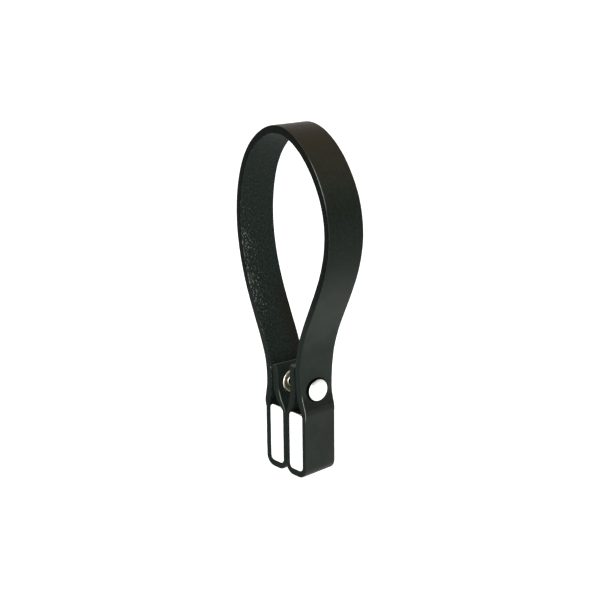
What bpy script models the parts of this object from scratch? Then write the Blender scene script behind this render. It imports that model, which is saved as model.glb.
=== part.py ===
"""A leather strap bent into a standing teardrop loop.

Each end folds back inwards round a flat bar, and a press stud closes the fold: the cap and the
sprung socket are set in the leg, the stud and its eyelet in the tongue. X runs across the loop,
Y along the strap's width, and the pockets stand on Z = 0. The pair of pockets is turned a little
about Z, and the strap twists into that turn above them.
"""

import math

import bmesh
import bpy
import numpy as np
from mathutils import Matrix, Vector

MM = 0.001
COLLECTION = "strap_loop"
CUTTERS = "strap_loop_cutters"

# Leather
STRAP_WIDTH = 16.0 * MM
STRAP_THICK = 3.2 * MM
TONGUE_THICK = 3.0 * MM
WALL_THICK = 2.05 * MM
BOTTOM_THICK = 2.3 * MM
FOLD_THICK = 1.5 * MM
PARED_TO_Z = 25.5 * MM
EDGE_BEVEL = 0.5 * MM
SMOOTH_STEP = 4.0 * MM
SMOOTH_TURN = math.radians(5)
CORNER_STEPS = 5
SHARP = math.radians(60)

# Bars and the pockets round them
BAR_SIZE = (7.8 * MM, 15.2 * MM, 24.4 * MM)
BAR_CORNER = 2.0 * MM
BAR_EDGE = 0.3 * MM
BAR_GAP = 0.2 * MM
PAIR_X = 0.4 * MM
POCKET_GAP = 0.3 * MM
WALL_TOP = 24.9 * MM

# The twist about the upright line at PAIR_X: full up to the first height, and none above the second
TWIST_DEG = 7.0
TWIST_FULL_Z = 28.0 * MM
TWIST_END_Z = 48.0 * MM

# Where the strap is divided into bodies, and the gap that is left there
SHOULDER_Z = 100.3 * MM
SHOULDER_X = 31.9 * MM
TONGUE_ROOT_Z = 31.0 * MM
CUT_GAP = 0.3 * MM

# Flesh face of the loop before the twist, from the left pocket over the crown to the right one, (x, z) in mm
LOOP_FACE = (
    (-9.6, 26.9), (-8.6, 30.2), (-7.8, 36.3), (-8.9, 43.8), (-13.6, 55.3), (-20.9, 69.3),
    (-26.2, 83.3), (-28.5, 97.3), (-27.7, 109.3), (-22.7, 123.3), (-14.0, 132.3), (-1.0, 136.6),
    (11.6, 132.3), (21.1, 123.3), (27.8, 109.3), (28.2, 97.3), (23.8, 83.3), (16.7, 69.3),
    (10.8, 55.8), (8.5, 43.8), (7.9, 36.6), (8.6, 30.7), (10.1, 27.0),
)
# Flesh face of each tongue before the twist, from its tip down to the pocket's inner wall, (x, z) in mm
TONGUE_FACE = {
    "left": ((-7.8, 43.2), (-6.9, 39.8), (-6.8, 35.8), (-5.7, 31.5), (-4.0, 28.7), (-2.3, 26.9)),
    "right": ((8.1, 46.5), (7.4, 41.3), (7.1, 37.0), (6.2, 32.9), (4.8, 29.4), (3.1, 26.9)),
}

# Press studs
STUD_Z = 36.3 * MM
STUD_Y = {"left": -0.8 * MM, "right": 0.0}
TURN_STEPS = 24
RING_RADIUS = 3.2 * MM
RING_WIRE = 0.35 * MM
RING_HEIGHT = 0.5 * MM
RING_GAP_DEG = 40.0
RING_POINTS = 20

# Turned profiles, (radius, height) in mm. Height 0 is the flesh face that the piece is set in, and
# heights rise away from the middle of the loop.
CAP_PROFILE = (
    (0.0, 5.25), (1.7, 5.12), (3.1, 4.72), (4.15, 4.1), (4.65, 3.65), (4.75, 3.45), (4.6, 3.35),
    (1.9, 3.35), (1.9, 0.98), (2.45, 0.94), (2.45, 0.72), (0.0, 0.72),
)
SOCKET_PROFILE = (
    (3.9, 1.65), (4.3, 1.4), (4.3, -0.15), (4.1, -0.35), (3.1, -0.35), (2.95, -0.2), (2.95, 0.0),
    (3.85, 0.0), (3.85, 1.15), (2.1, 1.15), (2.1, 1.65),
)
STUD_PROFILE = (
    (2.3, 1.38), (2.6, 1.15), (2.6, 0.85), (2.3, 0.5), (2.4, 0.25), (3.85, 0.25), (4.0, 0.1),
    (4.0, -0.35), (1.75, -0.35), (1.75, 0.95), (2.05, 1.38),
)
EYELET_PROFILE = (
    (1.85, 1.32), (1.9, 1.2), (1.55, 0.9), (1.55, -3.15), (4.6, -3.15), (4.8, -3.35), (4.8, -3.7),
    (4.6, -3.9), (4.25, -3.9), (3.95, -3.5), (2.9, -3.45), (2.65, -3.8), (2.35, -3.85),
    (2.05, -3.7), (1.45, -2.9), (1.15, -2.0), (1.15, 0.9), (1.5, 1.32),
)
LEG_CUT_PROFILE = (
    (0.0, 9.0), (4.95, 9.0), (4.95, 3.25), (2.1, 3.25), (2.1, 1.85), (4.55, 1.85), (4.55, -5.0),
    (0.0, -5.0),
)
TONGUE_CUT_PROFILE = (
    (0.0, 5.0), (4.2, 5.0), (4.2, -0.5), (1.75, -0.5), (1.75, -3.05), (5.0, -3.05), (5.0, -7.0),
    (0.0, -7.0),
)

SIDES = (("left", -1), ("right", 1))
LEATHER = {"color": (0.022, 0.024, 0.021, 1.0), "roughness": 0.42, "metallic": 0.0}
NICKEL = {"color": (0.86, 0.85, 0.80, 1.0), "roughness": 0.12, "metallic": 1.0}
BRASS = {"color": (0.72, 0.58, 0.32, 1.0), "roughness": 0.3, "metallic": 1.0}


def clear_scene():
    for obj in list(bpy.data.objects):
        bpy.data.objects.remove(obj)


def new_collection(name):
    collection = bpy.data.collections.new(name)
    bpy.context.scene.collection.children.link(collection)
    return collection


def add_object(name, data, collection, matrix=None):
    obj = bpy.data.objects.new(name, data)
    collection.objects.link(obj)
    if matrix is not None:
        obj.matrix_world = matrix
    return obj


def give_material(obj, look):
    material = bpy.data.materials.new(obj.name)
    material.use_nodes = True
    shader = material.node_tree.nodes["Principled BSDF"]
    shader.inputs["Base Color"].default_value = look["color"]
    shader.inputs["Roughness"].default_value = look["roughness"]
    shader.inputs["Metallic"].default_value = look["metallic"]
    obj.data.materials.append(material)


def spline_bends(slope, h, start, end):
    """Second derivatives at the stations of a cubic spline. An end with no direction given stays unbent."""
    count = len(h) + 1
    system = np.eye(count)
    right = np.zeros((count, 2))
    if start is not None:
        system[0, :2] = 2 * h[0], h[0]
        right[0] = 6 * (slope[0] - start)
    if end is not None:
        system[-1, -2:] = h[-1], 2 * h[-1]
        right[-1] = 6 * (end - slope[-1])
    for i in range(1, count - 1):
        system[i, i - 1 : i + 2] = h[i - 1], 2 * (h[i - 1] + h[i]), h[i]
        right[i] = 6 * (slope[i] - slope[i - 1])
    return np.linalg.solve(system, right)


def smooth_curve(stations, start, end):
    """Points along the cubic spline through the stations, closer together where it bends more."""
    p = np.array(stations)
    h = np.linalg.norm(np.diff(p, axis=0), axis=1)
    slope = np.diff(p, axis=0) / h[:, None]
    bend = spline_bends(slope, h, start, end)
    points = []
    for i, length in enumerate(h):
        leaving = slope[i] - (2 * bend[i] + bend[i + 1]) * length / 6
        arriving = slope[i] + (bend[i] + 2 * bend[i + 1]) * length / 6
        steps = math.ceil(max(length / SMOOTH_STEP, angle_between(leaving, arriving) / SMOOTH_TURN))
        t = (np.arange(steps) * length / steps)[:, None]
        rest = length - t
        cubic = (bend[i] * rest**3 + bend[i + 1] * t**3) / (6 * length)
        near, far = p[i] / length - bend[i] * length / 6, p[i + 1] / length - bend[i + 1] * length / 6
        points.append(cubic + near * rest + far * t)
    return np.vstack(points + [p[-1:]])


def angle_between(a, b):
    return abs(math.atan2(a[0] * b[1] - a[1] * b[0], a @ b))


def quarter_turn(centre, radius, first_deg, turn_deg):
    angles = np.radians(first_deg + turn_deg * np.arange(CORNER_STEPS + 1) / CORNER_STEPS)
    return np.array(centre) + radius * np.stack([np.cos(angles), np.sin(angles)], axis=1)


def wall_places(sign):
    """X of the flesh face of the pocket's inner wall and of its outer wall."""
    inner = PAIR_X + sign * (POCKET_GAP / 2 + FOLD_THICK)
    return inner, inner + sign * (BAR_SIZE[0] + 2 * BAR_GAP)


def pocket_turn(sign):
    """Flesh face round the bottom of a pocket, from its inner wall to its outer wall."""
    inner, outer = wall_places(sign)
    radius = BAR_CORNER + BAR_GAP
    height = BOTTOM_THICK + radius
    first_deg = 180 if sign > 0 else 0
    inner_corner = quarter_turn((inner + sign * radius, height), radius, first_deg, sign * 90)
    outer_corner = quarter_turn((outer - sign * radius, height), radius, 270, sign * 90)
    return np.vstack([inner_corner, outer_corner])


def strap_lines():
    """Flesh face and grain face of the whole strap, from the left tongue's tip to the right tongue's tip."""
    up, down = np.array([0.0, 1.0]), np.array([0.0, -1.0])
    tongues, turns, outer_tops = {}, {}, {}
    for side, sign in SIDES:
        inner, outer = wall_places(sign)
        stations = [*(np.array(TONGUE_FACE[side]) * MM), (inner, WALL_TOP)]
        tongues[side] = smooth_curve(stations, None, down)
        turns[side] = pocket_turn(sign)
        outer_tops[side] = (outer, WALL_TOP)
    loop_stations = [outer_tops["left"], *(np.array(LOOP_FACE) * MM), outer_tops["right"]]
    loop = smooth_curve(loop_stations, up, down)
    flesh = np.vstack(
        [tongues["left"], turns["left"], loop, turns["right"][::-1], tongues["right"][::-1]]
    )
    thick = np.concatenate(
        [
            pared_thickness(tongues["left"], FOLD_THICK, TONGUE_THICK),
            turn_thickness(),
            pared_thickness(loop, WALL_THICK, STRAP_THICK),
            turn_thickness()[::-1],
            pared_thickness(tongues["right"][::-1], FOLD_THICK, TONGUE_THICK),
        ]
    )
    heading = np.gradient(flesh, axis=0)
    heading /= np.linalg.norm(heading, axis=1)[:, None]
    outward = np.stack([-heading[:, 1], heading[:, 0]], axis=1)
    return flesh, flesh + outward * thick[:, None]


def pared_thickness(points, thin, full):
    """The leather is pared thin round the bar, and is full again where the tongue's own body starts."""
    share = np.clip((points[:, 1] - PARED_TO_Z) / (TONGUE_ROOT_Z - PARED_TO_Z), 0, 1)
    return thin + (full - thin) * share


def turn_thickness():
    """Thickness round a pocket's bottom, from the inner wall to the outer wall."""
    share = np.arange(CORNER_STEPS + 1) / CORNER_STEPS
    inner = FOLD_THICK + (BOTTOM_THICK - FOLD_THICK) * share
    outer = BOTTOM_THICK + (WALL_THICK - BOTTOM_THICK) * share
    return np.concatenate([inner, outer])


def crossing(line, height, which):
    """Fractional index where the line meets a height for the given time, counted from 0."""
    z = line[:, 1] - height
    below = z < 0
    i = np.nonzero(below[:-1] != below[1:])[0][which]
    return i + z[i] / (z[i] - z[i + 1])


def point_at(line, place):
    i = min(int(place), len(line) - 2)
    return line[i] + (line[i + 1] - line[i]) * (place - i)


def stretch(lines, start, end):
    """Flesh and grain points between two heights, (height, which) each. None is the lines' own end."""
    first = [0.0 if start is None else crossing(line, *start) for line in lines]
    last = [len(line) - 1.0 if end is None else crossing(line, *end) for line in lines]
    inside = slice(math.floor(max(first)) + 1, math.ceil(min(last)))
    return [
        np.vstack([point_at(line, a), line[inside], point_at(line, b)])
        for line, a, b in zip(lines, first, last)
    ]


def twist_at(z):
    """The turn of the strap about the pair's upright line at this height."""
    share = min(max((TWIST_END_Z - z) / (TWIST_END_Z - TWIST_FULL_Z), 0.0), 1.0)
    angle = math.radians(TWIST_DEG) * share**2 * (3 - 2 * share)
    middle = Matrix.Translation((PAIR_X, 0.0, 0.0))
    return middle @ Matrix.Rotation(angle, 4, "Z") @ middle.inverted()


def section(flesh, grain):
    """Corners of the strap's section at one station, its edges bevelled."""
    inward = (grain - flesh) / np.linalg.norm(grain - flesh) * EDGE_BEVEL
    half, short = STRAP_WIDTH / 2, STRAP_WIDTH / 2 - EDGE_BEVEL
    side = [(flesh, short), (flesh + inward, half), (grain - inward, half), (grain, short)]
    far = [Vector((x, y, z)) for (x, z), y in side]
    near = [Vector((x, -y, z)) for (x, z), y in reversed(side)]
    return far + near


def bevel_edges(bm, edges, width, segments):
    bmesh.ops.bevel(
        bm,
        geom=edges,
        offset=width,
        offset_type="OFFSET",
        segments=segments,
        profile=0.5,
        affect="EDGES",
    )


def cut(obj, cutter):
    cutter.hide_render = True
    cutter.display_type = "WIRE"
    modifier = obj.modifiers.new(cutter.name, "BOOLEAN")
    modifier.operation = "DIFFERENCE"
    modifier.object = cutter


def leather_piece(name, lines, start, end, collection):
    """The stretch of strap between two crossings: its twisted sections, bridged into one closed skin."""
    bm = bmesh.new()
    rings = []
    for flesh, grain in zip(*stretch(lines, start, end)):
        verts = [bm.verts.new(twist_at(corner.z) @ corner) for corner in section(flesh, grain)]
        rings.append([bm.edges.new((verts[i - 1], verts[i])) for i in range(len(verts))])
    for ring, following in zip(rings, rings[1:]):
        bmesh.ops.bridge_loops(bm, edges=ring + following)
    for ring in (rings[0], rings[-1]):
        bmesh.ops.edgeloop_fill(bm, edges=ring)
    bmesh.ops.recalc_face_normals(bm, faces=bm.faces)
    bmesh.ops.triangulate(bm, faces=bm.faces)
    mesh = bpy.data.meshes.new(name)
    bm.to_mesh(mesh)
    bm.free()
    obj = add_object(name, mesh, collection)
    give_material(obj, LEATHER)
    return obj


def facing(side, sign, x):
    """Places a turned piece on the stud's axis at x, its own Z pointing away from the middle of the loop."""
    place = Matrix.Translation((x, STUD_Y[side], STUD_Z))
    return twist_at(STUD_Z) @ place @ Matrix.Rotation(math.radians(sign * 90), 4, "Y")


def turned_piece(name, profile, matrix, collection):
    closed = profile[0][0] > 0
    count = len(profile)
    edges = [(i, (i + 1) % count) for i in range(count if closed else count - 1)]
    mesh = bpy.data.meshes.new(name)
    mesh.from_pydata([(r * MM, 0.0, z * MM) for r, z in profile], edges, [])
    obj = add_object(name, mesh, collection, matrix)
    modifier = obj.modifiers.new("turn", "SCREW")
    modifier.steps = TURN_STEPS
    modifier.render_steps = TURN_STEPS
    modifier.use_merge_vertices = True
    modifier.merge_threshold = 0.001 * MM
    return obj


def ring_spring(name, matrix, collection):
    """An open wire ring that grips the stud inside the socket."""
    curve = bpy.data.curves.new(name, "CURVE")
    curve.dimensions = "3D"
    curve.bevel_depth = RING_WIRE
    curve.bevel_resolution = 1
    curve.use_fill_caps = True
    spline = curve.splines.new("POLY")
    spline.points.add(RING_POINTS - 1)
    angles = np.radians(np.linspace(RING_GAP_DEG / 2, 360 - RING_GAP_DEG / 2, RING_POINTS))
    for point, angle in zip(spline.points, angles):
        point.co = (RING_RADIUS * math.cos(angle), RING_RADIUS * math.sin(angle), RING_HEIGHT, 1.0)
    obj = add_object(name, curve, collection, matrix)
    give_material(obj, BRASS)
    return obj


def bar(name, sign, collection):
    """A flat bar with rounded long edges, standing in its pocket."""
    inner, outer = wall_places(sign)
    bm = bmesh.new()
    bmesh.ops.create_cube(bm, size=1.0)
    bm.transform(Matrix.Diagonal((*BAR_SIZE, 1.0)))
    long_edges = [e for e in bm.edges if abs(e.verts[0].co.y - e.verts[1].co.y) > BAR_SIZE[1] / 2]
    bevel_edges(bm, long_edges, BAR_CORNER, CORNER_STEPS)
    bevel_edges(bm, [e for e in bm.edges if e.calc_face_angle() > SHARP], BAR_EDGE, 1)
    mesh = bpy.data.meshes.new(name)
    bm.to_mesh(mesh)
    bm.free()
    middle = Vector(((inner + outer) / 2, 0.0, BOTTOM_THICK + BAR_GAP + BAR_SIZE[2] / 2))
    obj = add_object(name, mesh, collection, twist_at(middle.z) @ Matrix.Translation(middle))
    give_material(obj, NICKEL)
    return obj


def press_stud(side, on_leg, on_tongue, collection):
    """The five pieces of one press stud: those set in the leg, then those set in the tongue."""
    cap = turned_piece(f"{side}_snap_cap", CAP_PROFILE, on_leg, collection)
    socket = turned_piece(f"{side}_snap_socket", SOCKET_PROFILE, on_leg, collection)
    stud = turned_piece(f"{side}_snap_stud", STUD_PROFILE, on_tongue, collection)
    eyelet = turned_piece(f"{side}_snap_eyelet", EYELET_PROFILE, on_tongue, collection)
    for obj in (cap, socket, stud, eyelet):
        give_material(obj, NICKEL)
    spring = ring_spring(f"{side}_ring_spring", on_leg, collection)
    return [cap, socket, spring], [stud, eyelet]


def group(name, place, pieces, collection):
    """An empty on a joint, with the pieces that move about it."""
    empty = add_object(name, None, collection, Matrix.Translation(place))
    for obj in pieces:
        attach(obj, empty)
    return empty


def attach(obj, parent):
    bpy.context.view_layer.update()
    obj.parent = parent
    obj.matrix_parent_inverse = parent.matrix_world.inverted()


def build_side(side, sign, lines, collection, cutters):
    """One leg with its pocket, bar, tongue and press stud."""
    half = CUT_GAP / 2
    if sign > 0:
        lines = [line[::-1] for line in lines]
    leg_ends = (TONGUE_ROOT_Z - half, 0), (SHOULDER_Z - half, 0)
    tongue_ends = None, (TONGUE_ROOT_Z + half, 0)
    leg = leather_piece(f"{side}_strap_leg", lines, *leg_ends, collection)
    tongue = leather_piece(f"{side}_tongue", lines, *tongue_ends, collection)
    flesh = lines[0]
    tongue_x, leg_x = (point_at(flesh, crossing(flesh, STUD_Z, which))[0] for which in (0, 1))
    on_leg, on_tongue = facing(side, sign, leg_x), facing(side, sign, tongue_x)
    cut(leg, turned_piece(f"{side}_leg_holes", LEG_CUT_PROFILE, on_leg, cutters))
    cut(tongue, turned_piece(f"{side}_tongue_holes", TONGUE_CUT_PROFILE, on_tongue, cutters))
    leg_pieces, tongue_pieces = press_stud(side, on_leg, on_tongue, collection)
    side_bar = bar(f"{side}_bar", sign, collection)

    shoulder_place = (sign * SHOULDER_X, 0.0, SHOULDER_Z)
    shoulder = group(f"{side}_shoulder_axis", shoulder_place, [leg, *leg_pieces], collection)
    release = group(f"{side}_tongue_slide", on_tongue.translation, [tongue, *tongue_pieces], collection)
    bar_slide = group(f"{side}_bar_slide", side_bar.location, [side_bar], collection)
    attach(release, shoulder)
    attach(bar_slide, shoulder)


def main():
    clear_scene()
    collection = new_collection(COLLECTION)
    cutters = new_collection(CUTTERS)
    lines = strap_lines()
    half = CUT_GAP / 2
    leather_piece("strap_crown", lines, (SHOULDER_Z + half, 0), (SHOULDER_Z + half, 1), collection)
    for side, sign in SIDES:
        build_side(side, sign, lines, collection, cutters)


main()
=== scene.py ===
"""A black leather strap loop with two folded pockets, two plated bars and two press studs.

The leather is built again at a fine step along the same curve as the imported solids, with rounded
edges. Lengths are in millimetres until a mesh is made.
"""

import math

import bmesh
import bpy
import numpy as np
from mathutils import Matrix, Vector, noise


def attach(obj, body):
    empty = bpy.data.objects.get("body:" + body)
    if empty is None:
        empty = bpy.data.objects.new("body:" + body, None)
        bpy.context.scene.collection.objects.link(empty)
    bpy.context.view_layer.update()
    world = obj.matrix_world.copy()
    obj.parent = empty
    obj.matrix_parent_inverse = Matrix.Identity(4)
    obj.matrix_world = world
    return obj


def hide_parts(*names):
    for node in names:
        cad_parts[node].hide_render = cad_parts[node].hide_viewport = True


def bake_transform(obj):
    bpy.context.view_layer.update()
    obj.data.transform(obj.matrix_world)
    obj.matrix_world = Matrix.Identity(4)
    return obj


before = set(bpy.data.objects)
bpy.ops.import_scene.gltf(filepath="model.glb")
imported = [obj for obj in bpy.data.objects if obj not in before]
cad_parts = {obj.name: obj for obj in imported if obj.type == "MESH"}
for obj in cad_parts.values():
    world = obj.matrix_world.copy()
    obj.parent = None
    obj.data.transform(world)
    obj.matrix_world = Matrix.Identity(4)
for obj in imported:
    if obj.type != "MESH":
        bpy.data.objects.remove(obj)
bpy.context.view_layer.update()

MM = 0.001

# The part's own sizes, as in the CAD model
STRAP_WIDTH = 16.0
STRAP_THICK = 3.2
TONGUE_THICK = 3.0
WALL_THICK = 2.05
BOTTOM_THICK = 2.3
FOLD_THICK = 1.5
PARED_TO_Z = 25.5
TONGUE_ROOT_Z = 31.0
WALL_TOP = 24.9
BAR_SIZE = (7.8, 15.2, 24.4)
BAR_CORNER = 2.0
BAR_EDGE = 0.3
BAR_GAP = 0.2
PAIR_X = 0.4
POCKET_GAP = 0.3
TWIST_DEG = 7.0
TWIST_FULL_Z = 28.0
TWIST_END_Z = 48.0
LOOP_FACE = (
    (-9.6, 26.9), (-8.6, 30.2), (-7.8, 36.3), (-8.9, 43.8), (-13.6, 55.3), (-20.9, 69.3),
    (-26.2, 83.3), (-28.5, 97.3), (-27.7, 109.3), (-22.7, 123.3), (-14.0, 132.3), (-1.0, 136.6),
    (11.6, 132.3), (21.1, 123.3), (27.8, 109.3), (28.2, 97.3), (23.8, 83.3), (16.7, 69.3),
    (10.8, 55.8), (8.5, 43.8), (7.9, 36.6), (8.6, 30.7), (10.1, 27.0),
)
TONGUE_FACE = {
    "left": ((-7.8, 43.2), (-6.9, 39.8), (-6.8, 35.8), (-5.7, 31.5), (-4.0, 28.7), (-2.3, 26.9)),
    "right": ((8.1, 46.5), (7.4, 41.3), (7.1, 37.0), (6.2, 32.9), (4.8, 29.4), (3.1, 26.9)),
}
STUD_Z = 36.3
STUD_Y = {"left": -0.8, "right": 0.0}
RING_RADIUS = 3.2
RING_WIRE = 0.35
RING_HEIGHT = 0.5
RING_GAP_DEG = 40.0
SIDES = (("left", -1), ("right", 1))

# Which of the strap's crossings of the stud's height is the leg's, as crossing() counts them
LEG_CROSSING = {"left": 1, "right": -2}

# Turned profiles, (radius, height). Height 0 is the flesh face that the piece is set in.
CAP_PROFILE = (
    (0.0, 5.25), (1.2, 5.22), (2.3, 5.12), (3.2, 4.96), (3.9, 4.72), (4.38, 4.38), (4.62, 3.98),
    (4.72, 3.6), (4.7, 3.3), (4.55, 3.22), (4.3, 3.3), (1.9, 3.35), (1.9, 0.98), (2.45, 0.94),
    (2.45, 0.72), (0.0, 0.72),
)
SOCKET_PROFILE = (
    (3.9, 1.65), (4.3, 1.4), (4.3, -0.15), (4.1, -0.35), (3.1, -0.35), (2.95, -0.2), (2.95, 0.0),
    (3.85, 0.0), (3.85, 1.15), (2.1, 1.15), (2.1, 1.65),
)
STUD_PROFILE = (
    (2.3, 1.38), (2.6, 1.15), (2.6, 0.85), (2.3, 0.5), (2.4, 0.25), (3.85, 0.25), (4.0, 0.1),
    (4.0, -0.35), (1.75, -0.35), (1.75, 0.95), (2.05, 1.38),
)
EYELET_PROFILE = (
    (1.85, 1.32), (1.9, 1.2), (1.55, 0.9), (1.55, -3.15), (4.6, -3.15), (4.8, -3.35), (4.8, -3.7),
    (4.6, -3.9), (4.3, -3.9), (4.05, -3.55), (2.4, -3.42), (2.25, -3.66), (2.08, -3.66),
    (1.9, -3.2), (1.5, -2.6), (1.15, -2.0), (1.15, 0.9), (1.5, 1.32),
)
LEG_CUT_PROFILE = (
    (0.0, 9.0), (4.95, 9.0), (4.95, 3.25), (2.1, 3.25), (2.1, 1.85), (4.55, 1.85), (4.55, -5.0),
    (0.0, -5.0),
)
TONGUE_CUT_PROFILE = (
    (0.0, 5.0), (4.2, 5.0), (4.2, -0.5), (1.75, -0.5), (1.75, -3.05), (5.0, -3.05), (5.0, -7.0),
    (0.0, -7.0),
)

# How finely the leather is built, and how its surface wanders
CURVE_STEP = 0.1
STATION_STEP = 0.6
SEAM_STEP = 0.06
SEAM_REACH = 0.6
THICKNESS_SMOOTHING = 9
EDGE_RADIUS = 0.5
CORNER_STEPS = 5
FACE_COLUMNS = 34
EDGE_COLUMNS = 4
TIP_STEPS = 5
TIP_CLEARANCE = 0.02
SEAM_Z = 14.0
FINE_STEP = 0.25
FINE_Z = (24.0, 44.0)
FOLD_Z = 29.0
ROOT_Z = 28.5
FOLD_WRINKLES = (-2.6, -1.0, 0.8, 2.3)
WRINKLE_DEPTH = 0.09
WRINKLE_WIDTH = 0.38
WRINKLE_DRIFT = 0.5
DIMPLE_RADIUS = 4.75
DIMPLE_WIDTH = 0.45
DIMPLE_DEPTH = 0.35
LIP_RADIUS = 5.9
LIP_WIDTH = 0.5
LIP_HEIGHT = 0.12
GRAIN_WANDER = 0.03
FLESH_WANDER = 0.045
EDGE_WANDER = 0.05
SLOW_WANDER_SCALE = 7.0
QUICK_WANDER_SCALE = 2.3
SEED_SHIFT = (17.3, 5.1, 9.7)

# How finely the metal is built
TURN_STEPS = 72
CORNER_SHARES = (0.0, 0.25, 0.5, 0.75, 1.0)
CAP_ROUNDING = 0.35
EYELET_ROUNDING = 0.2
STUD_ROUNDING = 0.15
BAR_CORNER_STEPS = 12
BAR_EDGE_STEPS = 4
BAR_SHARP_DEG = 60
RING_AROUND = 12
RING_STATIONS = 64

# The leather's three surfaces. A face is a cut edge when its share of the way out
# sideways is above this.
GRAIN_FACES, FLESH_FACES, EDGE_FACES = 0, 1, 2
EDGE_SHARE = 0.75

# Leather colours, and how strongly each surface shines
GRAIN_DARK = (0.0050, 0.0095, 0.0065, 1)
GRAIN_LIGHT = (0.0095, 0.0140, 0.0105, 1)
# Painted shade: the grain is darker on the crown's shoulders, where less light falls.
GRAIN_SHOULDER_SHADE = (0.0003, 0.0034, 0.0012, 1)
# Painted shade: near black grain in the concave bend over each pocket and round each cap.
GRAIN_PAINTED_SHADE = (0.0004, 0.0014, 0.0006, 1)
GRAIN_CROWN = (0.0135, 0.0075, 0.0002, 1)
GRAIN_WORN = (0.0170, 0.0200, 0.0160, 1)
# Painted highlight: a pale line on the grain's rounded corner, where light catches the edge.
GRAIN_PAINTED_HIGHLIGHT = (0.2000, 0.2100, 0.1900, 1)
FLESH_DARK = (0.0016, 0.0052, 0.0038, 1)
FLESH_LIGHT = (0.0190, 0.0250, 0.0200, 1)
FLESH_BROWN = (0.0068, 0.0040, 0.0010, 1)
# Pale flecks on the flesh side: partly loose fibres, partly painted glints of light on them.
FLESH_FIBRE_GLINT = (0.26, 0.28, 0.25, 1)
EDGE_DARK = (0.0003, 0.0010, 0.0005, 1)
EDGE_LIGHT = (0.0026, 0.0046, 0.0034, 1)
# The cut edge's lighter tone down the legs, away from the crown.
EDGE_LOWER_TONE = (0.0105, 0.0150, 0.0125, 1)
# The tongue's cut tip: lighter raw leather, and partly a painted highlight where light catches the
# end.
EDGE_RAW_AND_HIGHLIGHT = (0.0900, 0.0960, 0.0820, 1)
GRAIN_SPECULAR = 0.11
FLESH_SPECULAR = 0.085
EDGE_SPECULAR = 0.02
BURNISHED_ROUGHNESS = 0.24

# Where each tone lies, and how strong it is. Places are in millimetres, along the strap from
# the crown's top or across it. HIGHLIGHT_LINE and RAW_TIP_AND_HIGHLIGHT are shares of the way to a cut edge.
CROWN_REACH = 48.0
# Painted shade on the shoulders: where the darker grain rises in and fades out again.
SHOULDER_SHADE_ZONE = ((28.0, 42.0), (58.0, 76.0))
# Painted shade in a band where the leg bends out over its pocket.
FOLD_SHADE_BAND = (1.5, 5.5)
FOLD_SHADE_SHIFT = 0.8
FOLD_SHADE_SHARE = 0.95
# Painted shade in a ring round each cap.
CAP_SHADE_RING = (DIMPLE_RADIUS + 0.1, DIMPLE_RADIUS + 0.7)
# Painted highlight along the grain's edge line, and where along the strap it is strongest.
HIGHLIGHT_LINE = ((0.15, 0.35), (0.55, 0.75))
HIGHLIGHT_AT_FOLD = (3.0, 6.5)
HIGHLIGHT_FOLD_SHIFT = 0.5
HIGHLIGHT_AT_ROOT = (2.0, 6.0)
HIGHLIGHT_BY_CROWN = ((18.0, 27.0), (33.0, 43.0))
HIGHLIGHT_CROWN_SHARE = 0.75
HIGHLIGHT_EVERYWHERE = 0.04
# Where the flesh side's pale flecks lie: partly loose fibres, partly painted glints.
FLECKED_ACROSS = (-9.5, 8.5)
FLECKS_BEGIN = (34.0, 58.0)
FLECKS_THIN_OUT = (80.0, 112.0)
FLECKED_CROWN = (6.0, 20.0)
FLECKED_CORNER = ((48.0, 70.0), (114.0, 122.0))
FLECK_LIMIT = 0.74
FLECK_SPREAD = 0.225
BROWN_ACROSS = (0.0, 6.0)
BROWN_ZONE = ((72.0, 90.0), (112.0, 120.0))
# The cut edge turns lighter down the legs over these lengths.
EDGE_LIGHTER_BELOW = (66.0, 92.0)
# Where the tip is lighter: raw leather and a painted highlight.
RAW_TIP_AND_HIGHLIGHT = (1.1, 1.6)

# Heights of the surface texture, in metres
GRAIN_RELIEF = 0.00005
FLESH_RELIEF = 0.00012
EDGE_RELIEF = 0.00008
METAL_RELIEF = 0.000001

# Scales of the metal's noises, per metre
METAL_CLOUDS = 220.0
METAL_SPOTS = 2600.0
METAL_SCRATCHES = 9000.0

# Metal colours, each with its duller tone, and where painted shade and tarnish lie on the turned
# pieces
STUD_NICKEL = ((0.97, 0.965, 0.945, 1), (0.86, 0.85, 0.82, 1))
EYELET_NICKEL = ((0.90, 0.87, 0.76, 1), (0.72, 0.68, 0.55, 1))
BAR_NICKEL = ((0.95, 0.945, 0.92, 1), (0.84, 0.83, 0.79, 1))
SPRING_BRASS = ((0.80, 0.62, 0.32, 1), (0.52, 0.36, 0.16, 1))
# Painted shade for metal in a recess or beside the leather.
METAL_SHADE = (0.03, 0.03, 0.027, 1)
TARNISH = (0.235, 0.22, 0.125, 1)
TARNISH_ROUGHNESS = 0.42
# Heights on a cap where its rim is painted dark, for shade and the leather's reflection.
SHADED_RIM = ((2.4, 2.8), (3.85, 4.25))
EYELET_HOLLOW = ((2.3, 2.45), (4.15, 4.4))
# Radii inside an eyelet's mouth that are painted dark for shade.
EYELET_MOUTH = (1.95, 2.08)

# Camera
CAMERA_PLACE = (0.39128, -0.26776, 0.21154)
CAMERA_AZIMUTH = 55.53
CAMERA_ELEVATION = 16.56
CAMERA_ROLL = -0.69
CAMERA_LENS = 75.7

# Studio, in metres. The floor lies a little under the strap, so that a pocket that
# swings out clears it.
FLOOR_DROP = 0.005
FLOOR_RADIUS = 14.0
SKY_FADE = {"From Min": 0.15, "From Max": 0.75, "To Min": 1.1, "To Max": 0.6}


# ---------------------------------------------------------------- the strap's curve

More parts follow.
